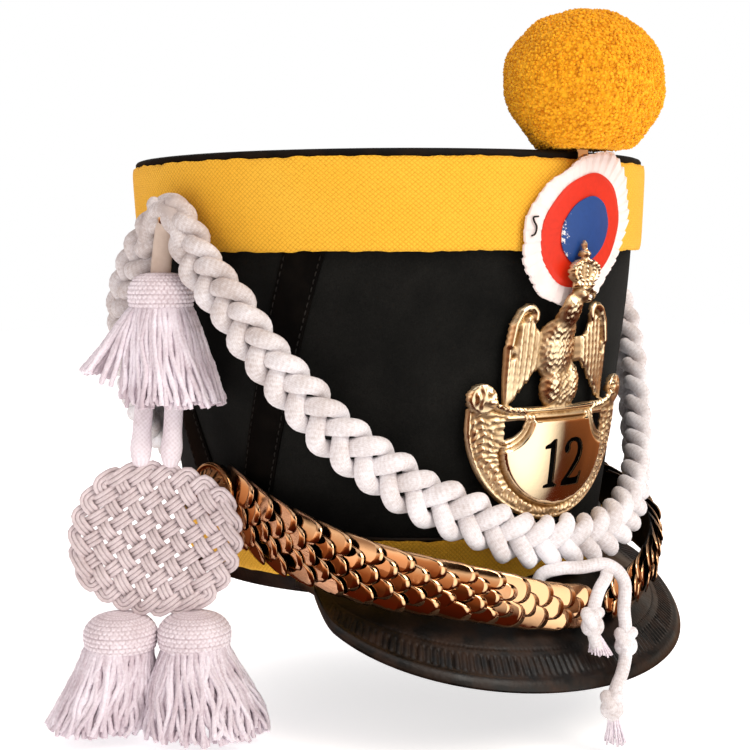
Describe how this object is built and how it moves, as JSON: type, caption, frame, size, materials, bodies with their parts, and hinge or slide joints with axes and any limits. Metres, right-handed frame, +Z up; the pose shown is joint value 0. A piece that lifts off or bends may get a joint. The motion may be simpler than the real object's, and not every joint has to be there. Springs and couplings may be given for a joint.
{
  "type": "shako hat",
  "caption": "Tall felt military cap with a leather peak, wool bands, round pompom, cockade, brass eagle plate, scaled chin straps, plaited white cordon and tassels.",
  "frame": {"origin": "centre of the head opening, at the crown's lower rim; the hat sits on the wearer's head there", "axes": "+Z up, -Y to the hat's front (peak and plate), -X to the wearer's right, where the tassels hang"},
  "size_m": [0.3084, 0.275, 0.3066],
  "materials": {
    "felt": "matt black felt",
    "black_leather": "glazed black leather",
    "yellow_wool": "coarse woven wool braid",
    "pompom_wool": "clipped wool pile",
    "white_cotton": "soft twisted cotton cord",
    "white_leather": "matt white leather in pleats",
    "red_paint": "semi-gloss red paint",
    "blue_paint": "semi-gloss blue paint",
    "stamped_brass": "stamped and polished brass",
    "scale_brass": "polished brass scales"
  },
  "bodies": {
    "root": {"crown_felt": "felt", "crown_top": "black_leather", "top_band": "yellow_wool", "base_band": "black_leather", "lower_band": "yellow_wool", "side_chevron_right": "black_leather", "side_chevron_left": "black_leather", "visor": "black_leather", "pompom": "pompom_wool", "pompom_stem": "stamped_brass", "cockade_white": "white_leather", "cockade_red": "red_paint", "cockade_blue": "blue_paint", "eagle_plate": "stamped_brass", "chin_scales_right": "scale_brass", "chin_scales_left": "scale_brass", "chin_rosette_right": "scale_brass", "chin_rosette_left": "scale_brass", "cordon_front": "white_cotton", "cordon_rear": "white_cotton", "cordon_hook_right": "stamped_brass", "cordon_hook_left": "stamped_brass", "tassel_loop": "white_cotton", "tassel_upper": "white_cotton", "racquet_cord_front": "white_cotton", "racquet_cord_rear": "white_cotton", "racquet": "white_cotton", "tassel_lower_front": "white_cotton", "tassel_lower_rear": "white_cotton", "lace_upper": "white_cotton", "lace_lower": "white_cotton", "lace_short": "white_cotton", "knot_upper": "white_cotton", "knot_lower": "white_cotton", "knot_short": "white_cotton", "tuft_long": "white_cotton", "tuft_short": "white_cotton"}
  },
  "joints": []
}
